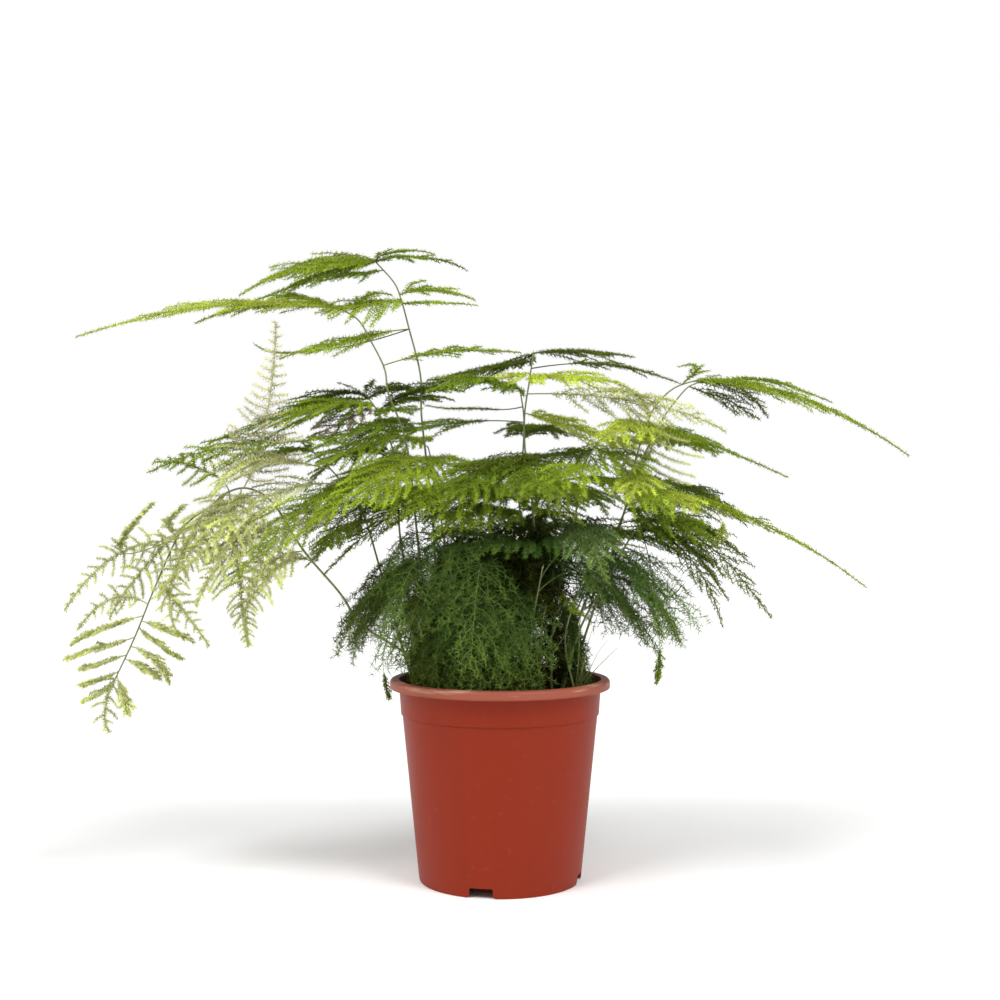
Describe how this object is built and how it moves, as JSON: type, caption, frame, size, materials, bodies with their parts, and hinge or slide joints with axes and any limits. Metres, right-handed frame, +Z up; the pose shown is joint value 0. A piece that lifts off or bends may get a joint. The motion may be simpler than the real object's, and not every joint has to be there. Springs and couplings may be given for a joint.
{
  "type": "potted asparagus fern",
  "caption": "Asparagus fern with wiry stems and flat, needle-leaved sprays in tiers over a soft lower bush, growing in soil in a round tapered plastic nursery pot with foot notches.",
  "frame": {"origin": "on the pot's axis, at the plane of its foot, so the plant stands on z = 0", "axes": "+Z up, +X to the right along the plant's widest spread, -Y towards the side seen in the picture"},
  "size_m": [0.645, 0.334, 0.4919],
  "materials": {
    "pot_plastic": "satin",
    "potting_soil": "matte",
    "young_green": "matte",
    "old_green": "matte",
    "blue_green": "matte"
  },
  "bodies": {
    "root": {"pot": "pot_plastic", "soil": "potting_soil", "stem_tall_left": "young_green", "stem_outer_left": "young_green", "stem_left_dark": "old_green", "stem_left_low": "young_green", "stem_arching_left": "young_green", "stem_centre_back": "old_green", "stem_centre_tall": "old_green", "stem_centre_right": "young_green", "stem_right_tall": "young_green", "stem_right_back": "old_green", "stem_right_low": "old_green", "stem_back_left": "young_green", "stem_back_right": "young_green", "stem_low_01": "blue_green", "stem_low_02": "blue_green", "stem_low_03": "blue_green", "stem_low_04": "blue_green", "stem_low_05": "blue_green", "stem_low_06": "blue_green", "stem_low_07": "blue_green", "stem_low_08": "blue_green", "stem_low_09": "blue_green", "stem_low_10": "blue_green"}
  },
  "joints": []
}
